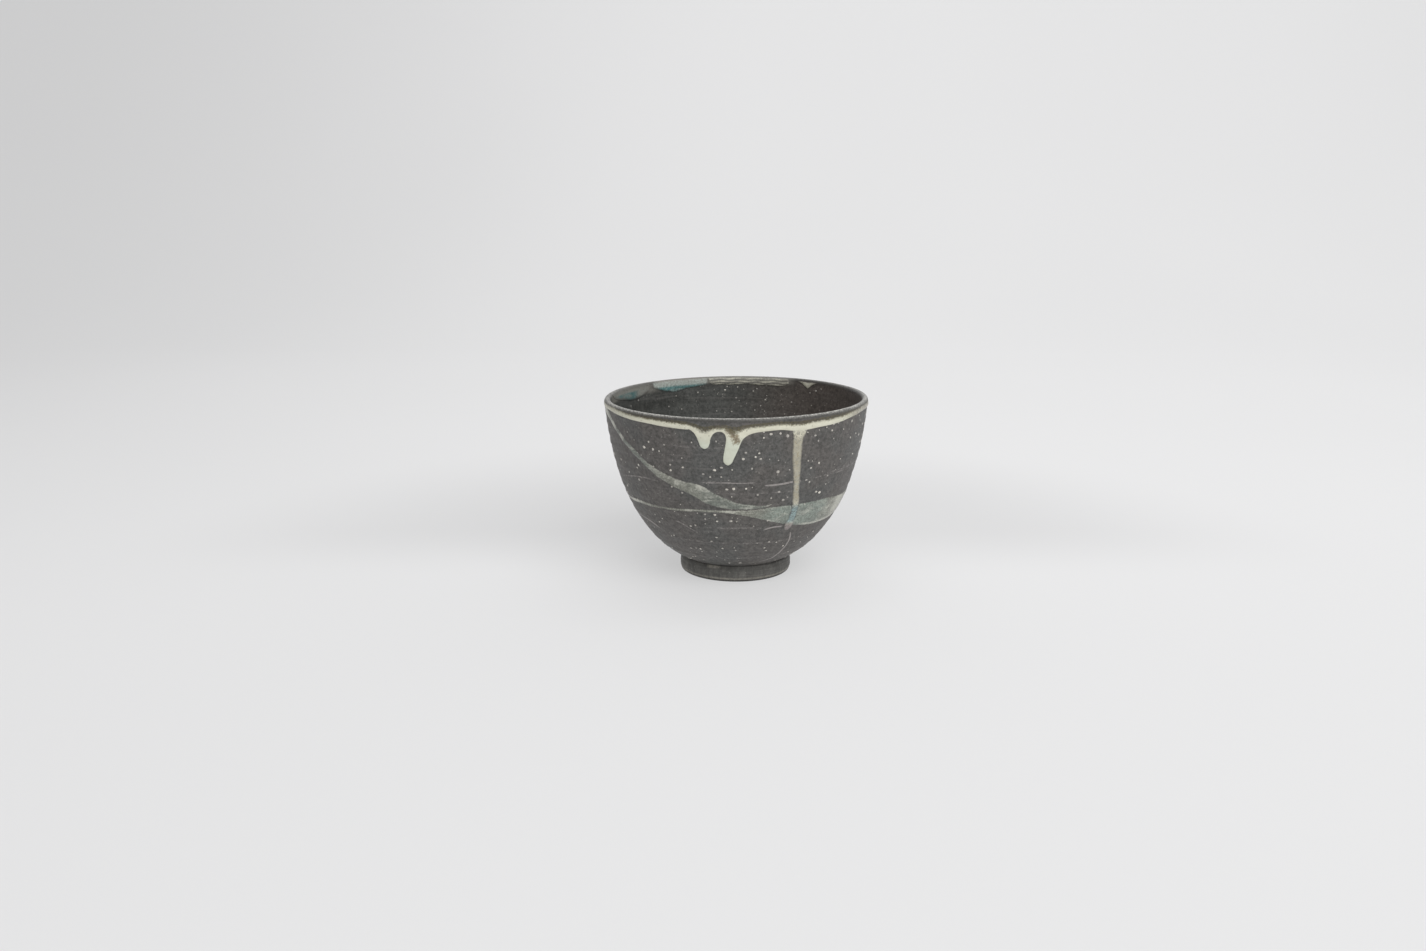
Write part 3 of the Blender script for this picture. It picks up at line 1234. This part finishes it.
FOOT_COLUMNS = 320
BODY_COLUMNS = 256
FOOT_TOP_RADIUS = 24.9
CONTACT_OUTER = 24.3
CONTACT_INNER = 20.2
RECESS_RADIUS = 18.9
NIPPLE_DROP = 0.8
NIPPLE_RADIUS = 9.0
FOOT_OUTLINE = [
    (FOOT_TOP_RADIUS - 1.2, JOINT_HEIGHT + 0.35), (FOOT_TOP_RADIUS, JOINT_HEIGHT - 0.1), (25.5, 5.8),
    (25.75, 3.9), (25.7, 2.5), (25.5, 1.4), (25.1, 0.4), (CONTACT_OUTER, 0.0), (23.0, 0.0), (21.4, 0.0),
    (CONTACT_INNER, 0.0), (19.7, 0.6), (19.4, 2.6), (19.1, 5.2), (RECESS_RADIUS, JOINT_HEIGHT),
]


def build_foot():
    """Closed ring from a rounded outline, with turning lines round its outer side."""
    outline = smooth_line(FOOT_OUTLINE, 0.22, False)
    closing = np.linspace(outline[-1], outline[0], 12)[1:-1]
    outline = np.vstack([outline, closing])
    grid_turned, index = np.meshgrid(full_turn(FOOT_COLUMNS), np.arange(len(outline)))
    radius, height = outline[index, 0], outline[index, 1]
    lines = sum(waves(grid_turned, height, *row) for row in FOOT_RINGS)
    loose = np.clip(height / 1.2, 0.0, 1.0) * np.clip((JOINT_HEIGHT - height) / 1.0, 0.0, 1.0)
    radius = radius + lines * loose
    points = round_points(grid_turned, radius, height).reshape(-1, 3)
    faces = ring_grid(len(outline), FOOT_COLUMNS)
    faces += close_round((len(outline) - 1) * FOOT_COLUMNS, FOOT_COLUMNS)
    outer = radius > 22.0
    bevel = np.exp(-((height - 1.6) / 0.4) ** 2) * outer
    degrees = half_turn(np.degrees(grid_turned))
    chip = between(degrees, -31.0, -17.0, 2.0) * outer
    chip = chip * between(height, JOINT_HEIGHT - 1.5, JOINT_HEIGHT - 0.3, 0.2)
    contact = (height < 0.03) * (radius < 24.0)
    foot_line = between(height, 0.1, 0.95, 0.15) * outer
    joint_line = 0.25 * smooth_step(height, JOINT_HEIGHT - 3.0, JOINT_HEIGHT - 0.6) * outer
    rub = np.maximum(np.maximum(bevel, chip), contact * 0.6)
    dark = np.maximum(foot_line, joint_line) * (1.0 - chip)
    attributes = {"rub": rub.ravel(), "dark": dark.ravel()}
    return new_mesh("turned_foot", points, faces, attributes)


def build_body():
    """Clay between the two coats, closed underneath by the turned hollow and its low cone."""
    outside = np.linspace(0.5, S_OUTSIDE_END, 70)
    inside = np.linspace(S_INSIDE_END + AXIS_GAP, -0.5, 70)
    turned = full_turn(BODY_COLUMNS)
    rows = []
    for s in np.concatenate([inside, outside]):
        rows.append(skin_points(turned, np.full(BODY_COLUMNS, s), -COAT - 0.05))
    ledge = np.linspace(24.0, NIPPLE_RADIUS, 60)
    cone = np.linspace(NIPPLE_RADIUS, AXIS_GAP, 36)[1:]
    radii = np.concatenate([ledge, cone])
    for radius in radii:
        drop = NIPPLE_DROP * smooth_step(NIPPLE_RADIUS - radius, 0.0, NIPPLE_RADIUS)
        spiral = 0.07 * np.sin(radius * 4.2 + turned) + 0.04 * np.sin(radius * 1.7 - turned * 2.0 + 1.0)
        height = JOINT_HEIGHT - drop + spiral * min(1.0, (radius - AXIS_GAP) / 2.0) * (radius < 18.0)
        rows.append(round_points(turned, radius, height))
    levels = (rows[0][:, 2].mean(), rows[-1][:, 2].mean() - 0.02)
    points = np.vstack([*rows, [(0.0, 0.0, level) for level in levels]])
    faces = ring_grid(len(rows), BODY_COLUMNS)
    faces += cap_ends((len(rows) - 1) * BODY_COLUMNS, BODY_COLUMNS, len(points) - 2)
    plain = np.zeros(len(points))
    return new_mesh("thrown_body", points, faces, {"rub": plain, "dark": plain})


# ---- Feldspar grains ----------------------------------------------------------------------------

GRAIN_SIDES = 9
# Rings of a grain's dome: (share of its radius, height in radii, how far it is sunk in).
GRAIN_RINGS = [(1.0, 0.0, 0.06), (0.97, 0.03, 0.0), (0.7, 0.2, 0.0)]
GRAIN_TOP = 0.27
LEAST_GAP = 1.9
WIDEST = 60.0  # no place is wider than this, so the grains are as dense low down as at the rim
# The largest grains on the front: (angle, height, radius).
LARGE_GRAINS = [
    (-43, 65.9, 0.75), (-38, 65.6, 0.6), (-40, 68.6, 0.45), (-49, 56.9, 0.55), (-30, 57.3, 0.55),
    (-24, 59.1, 0.45), (-10, 58.7, 0.62), (-7, 60.0, 0.6), (-15, 56.8, 0.5), (-12, 55.6, 0.45),
    (-2, 50.5, 0.62), (-5, 50.2, 0.55), (-26, 47.2, 0.5), (-16, 38.0, 0.5), (-11, 38.0, 0.55),
    (-31, 18.6, 0.55), (13, 74.4, 0.6), (20, 73.3, 0.7), (33, 72.3, 0.55), (17, 57.7, 0.68),
    (2, 64.0, 0.58), (7, 64.8, 0.45), (3, 66.7, 0.45), (31, 61.3, 0.4), (37, 59.6, 0.52),
    (31.5, 52.6, 0.52), (33.5, 51.4, 0.5), (52, 24.2, 0.45), (-1, 19.3, 0.42), (38, 21.3, 0.4),
]


def scatter_grains(name, seed, tries, s_range, sizes, marked=()):
    """Low round domes of feldspar that stand out of the dark coat, thicker in some places.

    sizes are the usual, spread, smallest and largest radius. The coat keeps about a quarter of the
    tries. marked are (angle, height, radius) of grains with a set place.
    """
    rng = np.random.default_rng(seed)
    s = rng.uniform(*s_range, tries)
    turned = rng.uniform(0.0, 2.0 * math.pi, tries)
    crowd = waves(turned, s, seed + 1, 10, 1.0, (1, 7), (12.0, 50.0))
    evened = rng.uniform(0.0, WIDEST, tries) < on_profile(s, 1)
    kept = evened & (rng.uniform(size=tries) < 0.3 + 0.25 * crowd)
    usual, spread, smallest, largest = sizes
    radius = np.clip(rng.lognormal(math.log(usual), spread, tries), smallest, largest)
    if marked:
        angles, heights, radii = np.array(marked).T
        turned = np.append(np.radians(angles), turned[kept])
        s = np.append(s_at_height(heights, 1), s[kept])
        radius = np.append(radii, radius[kept])
    else:
        turned, s, radius = turned[kept], s[kept], radius[kept]
    # No grain lies against an earlier one.
    places = skin_points(turned, s)
    gaps = np.linalg.norm(places[:, None] - places[None], axis=-1)
    apart = ~np.triu(gaps < LEAST_GAP, 1).any(axis=0)
    turned, s, radius = turned[apart][:, None], s[apart][:, None], radius[apart][:, None]
    count = len(s)
    start = rng.uniform(0.0, 2.0 * math.pi, (count, 1))
    angles = start + np.arange(GRAIN_SIDES) * 2.0 * math.pi / GRAIN_SIDES
    stretch = rng.uniform(0.85, 1.25, (count, 1))
    wobble = radius * rng.uniform(0.86, 1.14, (count, GRAIN_SIDES))
    across = np.cos(angles) * wobble * stretch / np.maximum(on_profile(s, 1), 4.0)
    down = np.sin(angles) * wobble / stretch
    layers = [skin_points(turned + across * share, s + down * share, lift * radius - sunk)
              for share, lift, sunk in GRAIN_RINGS]
    layers.append(skin_points(turned, s, GRAIN_TOP * radius))
    points = np.concatenate(layers, axis=1)
    faces = []
    each = points.shape[1]
    for grain in range(count):
        first = grain * each
        for ring in range(len(GRAIN_RINGS) - 1):
            low = first + ring * GRAIN_SIDES
            for k in range(GRAIN_SIDES):
                following = (k + 1) % GRAIN_SIDES
                faces.append((low + k, low + following, low + GRAIN_SIDES + following, low + GRAIN_SIDES + k))
        top = first + (len(GRAIN_RINGS) - 1) * GRAIN_SIDES
        for k in range(GRAIN_SIDES):
            faces.append((top + k, top + (k + 1) % GRAIN_SIDES, first + each - 1))
        faces.append(tuple(first + k for k in reversed(range(GRAIN_SIDES))))
    return new_mesh(name, points.reshape(-1, 3), faces)


def grain_material():
    shader = Shader("feldspar")
    tint = shader.noise(4.0, 2.0)
    fine = shader.noise(0.25, 2.0)
    colour = shader.mix(shader.ramp(tint, 0.35, 0.65), GRAIN_WHITE, GRAIN_GREY)
    shader.bump(fine, 0.03)
    return shader.finish(colour, 0.42, 0.5)


# ---- Everything in place ------------------------------------------------------------------------

# Rows of the outer coat follow the wheel's lines closely.
line_places = [float(s_at_height(level, 1)) for level, _, _, _ in WHEEL_LINES]
outer_rows = coat_rows(SEAM_S, S_OUTSIDE_END, ROW_STEP, line_places)
inner_rows = coat_rows(S_INSIDE_END + AXIS_GAP, SEAM_S, ROW_STEP)
dark_glaze = coat_material()
finish_piece(build_coat("outer_coat", outer_rows, False), "outer_glaze", dark_glaze)
finish_piece(build_coat("inner_coat", inner_rows, True), "inner_glaze", dark_glaze)
bare_clay = clay_material("bare_clay", COAT_WARM, CLAY_RUBBED)
finish_piece(build_body(), "clay_body", bare_clay)
foot_clay = clay_material("foot_clay", FOOT_DARK, CLAY_RUBBED)
finish_piece(build_foot(), "foot_ring", foot_clay)

trail_glaze = cream_material("cream_glaze")
finish_piece(build_cream_trail(), "cream_trail", trail_glaze)
run_glaze = cream_material("cream_run_glaze", see_through=0.7)
finish_piece(build_cream_run(), "cream_run", run_glaze)

sash = build_strip(
    "celadon_sash_glaze", SASH, SASH_LIFT, SASH_PALE,
    ends=(-90, -80, 15.5, 17), edges=((-34, 16), (-80, -70)), blue=(-40, -18))
sash_glaze = celadon_material("celadon_sash", CELADON, CELADON_GREEN, CELADON_PALE)
finish_piece(sash, "celadon_sash", sash_glaze)
sweep = build_strip(
    "celadon_sweep_glaze", SWEEP, SWEEP_LIFT, SWEEP_PALE,
    ends=(-90, -80, 190, 202), edges=((-20, 34), (34, 90)), blue=(12, 50))
sweep_glaze = celadon_material("celadon_sweep", CELADON_GREEN, CELADON_BLUE, CELADON_PALE)
finish_piece(sweep, "celadon_sweep", sweep_glaze)
finish_piece(build_streaks(), None, streak_material())

teal_left = celadon_material("teal_left", TEAL, TEAL, HAZE_GREY, 2.2, within=1.0)
left = build_patch("inner_celadon_left_glaze", LEFT_PATCH, PATCH_LIFT, pale_from=77.2, hazy_side=True)
finish_piece(left, "inner_celadon_left", teal_left)
teal_back = celadon_material("teal_back", TEAL_LIGHT, TEAL, TEAL_PALE, 1.2, within=1.0)
back = build_patch("inner_celadon_back_glaze", BACK_PATCH, PATCH_LIFT, teal=0.35, pale_from=76.9)
finish_piece(back, "inner_celadon_back", teal_back)
inner_cream = cream_material("cream_inside", see_through=0.3, within=1.0)
band = build_patch("inner_cream_band_glaze", BACK_BAND, PATCH_LIFT, cream=0.12)
finish_piece(band, "inner_cream_band", inner_cream)
drip = build_patch("inner_cream_drip_glaze", RIGHT_DRIP, DRIP_LIFT, cream=1.0)
finish_piece(drip, "inner_cream_drip", inner_cream)

feldspar = grain_material()
grains = scatter_grains(
    "grains_outside", 51, 2400, (4.5, S_OUTSIDE_END - 1.0), (0.34, 0.38, 0.14, 0.66), LARGE_GRAINS)
finish_piece(grains, None, feldspar)
grains = scatter_grains("grains_inside", 53, 3000, (S_INSIDE_END + 4.0, -3.5), (0.29, 0.36, 0.14, 0.52))
finish_piece(grains, None, feldspar)

# ---- Floor, light and camera --------------------------------------------------------------------

# Metres and degrees, fitted together with the profile to the bowl's outline in the photo.
CAMERA_PLACE = (-0.01053, -0.5432, 0.1677)
CAMERA_LOOKS_DOWN = 12.857
CAMERA_LENS = 30.3
CAMERA_SENSOR = 36.0
WORLD_STRENGTH = 0.27
# Area lights: (name, place, what it points at, size, power).
BOWL_MIDDLE = (0.0, 0.0, 0.04)
LIGHTS = [
    ("front_above", (0.65, -1.4, 1.5), BOWL_MIDDLE, (2.0, 1.4), 27.0),
    ("overhead", (0.0, 0.1, 1.9), BOWL_MIDDLE, (2.0, 1.6), 6.0),
    ("backdrop_wash", (0.35, 0.55, 1.9), (0.2, 1.5, 0.5), (1.8, 0.8), 7.0),
]

def build_backdrop():
    """Pale floor that curves up into a wall behind the bowl."""
    half_width = 4000.0
    floor_front = -3000.0
    wall_distance = 1500.0
    wall_height = 3200.0
    bend = 700.0
    parts = 24
    outline = [(floor_front, 0.0), (wall_distance - bend, 0.0)]
    for k in range(1, parts + 1):
        angle = math.pi / 2.0 * k / parts
        outline.append((wall_distance - bend + bend * math.sin(angle), bend - bend * math.cos(angle)))
    outline.append((wall_distance, wall_height))
    points, faces = [], []
    for y, z in outline:
        points.extend([(-half_width, y, z), (half_width, y, z)])
    for k in range(len(outline) - 1):
        faces.append((2 * k, 2 * k + 1, 2 * k + 3, 2 * k + 2))
    floor = new_mesh("studio_sweep", np.array(points), faces)
    shader = Shader("studio_paper")
    paper = shader.noise(900.0, 2.0)
    colour = shader.mix(shader.ramp(paper, 0.3, 0.7), PAPER, PAPER_SHADE)
    # The paper lies on a lit table, which keeps shadows soft. It is a little
    # dimmer far to the left and behind the bowl.
    x, y = shader.along("X"), shader.along("Y")
    glow = shader.ramp(x, -1.0, 0.15, 0.78 * PAPER_GLOW, PAPER_GLOW)
    reach = shader.maths("POWER", shader.sum(shader.product(x, x), shader.product(y, y)), 0.5)
    shade = shader.product(shader.ramp(y, -0.02, 0.07), shader.ramp(reach, 0.14, 0.32, 0.17, 0.0))
    glow = shader.product(glow, shader.maths("SUBTRACT", 1.0, shade))
    shader.put((1.0, 1.0, 1.0, 1.0), shader.surface.inputs["Emission Color"])
    shader.put(glow, shader.surface.inputs["Emission Strength"])
    floor.data.materials.append(shader.finish(colour, 0.9, 0.1))


def area_light(name, place, target, size, power):
    light = bpy.data.lights.new(name, "AREA")
    light.shape = "RECTANGLE"
    light.size, light.size_y = size
    light.energy = power
    lamp = bpy.data.objects.new(name, light)
    lamp.location = place
    lamp.rotation_euler = (Vector(target) - Vector(place)).to_track_quat("-Z", "Y").to_euler()
    bpy.context.collection.objects.link(lamp)


def light_scene():
    world = bpy.data.worlds.new("studio")
    world.use_nodes = True
    background = world.node_tree.nodes["Background"]
    background.inputs["Color"].default_value = (1.0, 1.0, 1.0, 1.0)
    background.inputs["Strength"].default_value = WORLD_STRENGTH
    bpy.context.scene.world = world
    for light in LIGHTS:
        area_light(*light)


def place_camera():
    camera = bpy.data.objects.new("camera", bpy.data.cameras.new("camera"))
    camera.location = CAMERA_PLACE
    camera.rotation_euler = (math.radians(90.0 - CAMERA_LOOKS_DOWN), 0.0, 0.0)
    camera.data.sensor_width = CAMERA_SENSOR
    camera.data.lens = CAMERA_LENS
    camera.data.clip_end = 20.0
    bpy.context.collection.objects.link(camera)
    bpy.context.scene.camera = camera


build_backdrop()
light_scene()
place_camera()
bpy.context.scene.view_settings.view_transform = "Standard"
